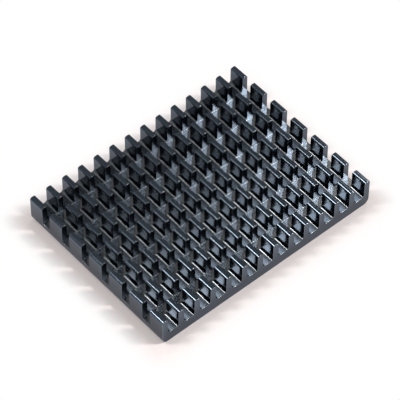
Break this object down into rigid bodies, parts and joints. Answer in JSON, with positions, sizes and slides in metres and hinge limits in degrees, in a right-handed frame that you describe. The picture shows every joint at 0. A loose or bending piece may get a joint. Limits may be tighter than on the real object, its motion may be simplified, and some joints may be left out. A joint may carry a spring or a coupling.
{
  "type": "pin fin heat sink",
  "caption": "Flat black anodised aluminium heat sink: a thin plate carrying straight lines of short rectangular pins, for a small processor.",
  "frame": {"origin": "middle of the flat underside", "axes": "+X along the plate's long side, across the fins; +Y along the fins; +Z from the underside to the pin tips"},
  "size_m": [0.04, 0.03, 0.005],
  "materials": {
    "heat_sink": "black anodised, satin"
  },
  "bodies": {
    "root": {"heat_sink": "heat_sink"}
  },
  "joints": []
}
